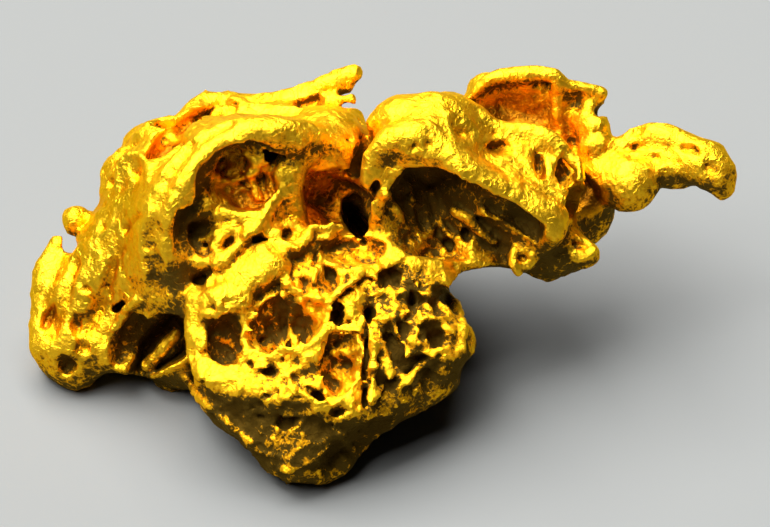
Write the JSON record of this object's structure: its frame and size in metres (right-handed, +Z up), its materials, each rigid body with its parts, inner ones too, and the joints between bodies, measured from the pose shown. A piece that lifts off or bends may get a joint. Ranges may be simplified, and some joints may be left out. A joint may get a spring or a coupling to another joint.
{
  "type": "gold nugget",
  "caption": "Natural gold nugget: one crumpled, water-worn lump with a pitted face, an overhanging hood, deep hollows and a thin hooked arm, lying on small worn spots.",
  "frame": {"origin": "middle of the bounding box on the ground it lies on", "axes": "+X along its length from the left lobe to the hooked arm, +Y from the pitted face to the back, +Z up"},
  "size_m": [0.035, 0.0194, 0.0145],
  "materials": {
    "native_gold": "natural worn metal, satin with brown in the hollows"
  },
  "bodies": {
    "root": {"gold_nugget": "native_gold"}
  },
  "joints": []
}
